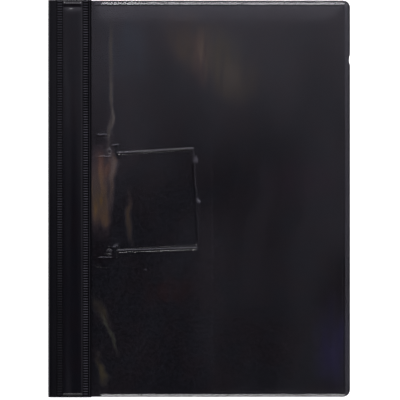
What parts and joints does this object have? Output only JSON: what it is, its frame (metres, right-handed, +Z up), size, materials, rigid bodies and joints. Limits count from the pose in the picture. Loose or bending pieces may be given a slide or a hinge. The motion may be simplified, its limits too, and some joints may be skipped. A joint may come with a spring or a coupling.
{
  "type": "clip folder",
  "caption": "A4 clip folder: black back cover with a round spine fold, clear front sheet on a ribbed black flap, and a wire bail that clamps loose sheets",
  "frame": {"origin": "under the middle of the closed folder, on the face of the back cover that it rests on", "axes": "X from the spine to the fore edge, Y from the foot to the head, Z up through the front sheet"},
  "size_m": [0.236, 0.31, 0.0086],
  "materials": {
    "black_film": "soft black vinyl with a fine grain",
    "clear_film": "clear glossy film",
    "black_steel": "black gloss paint on steel"
  },
  "bodies": {
    "back": {"back_cover": "black_film", "inner_pocket": "clear_film", "clip_base": "black_steel", "rivet_head_end": "black_steel", "rivet_foot_end": "black_steel"},
    "front": {"front_flap": "black_film", "label_pocket": "clear_film", "front_sheet": "clear_film"},
    "bail": {"clip_bail": "black_steel"}
  },
  "joints": [
    {"name": "cover_hinge", "type": "hinge", "parent": "back", "child": "front", "pos_m": [-0.11402, 0, 0.00398], "axis": [0, -1, 0], "range_deg": [0, 180]},
    {"name": "bail_swing", "type": "hinge", "parent": "back", "child": "bail", "pos_m": [-0.065, 0, 0.004], "axis": [0, -1, 0], "range_deg": [0, 171]}
  ],
  "couplings": [
    {"joint": "bail_swing", "follows": "cover_hinge", "ratio": 0.95}
  ]
}
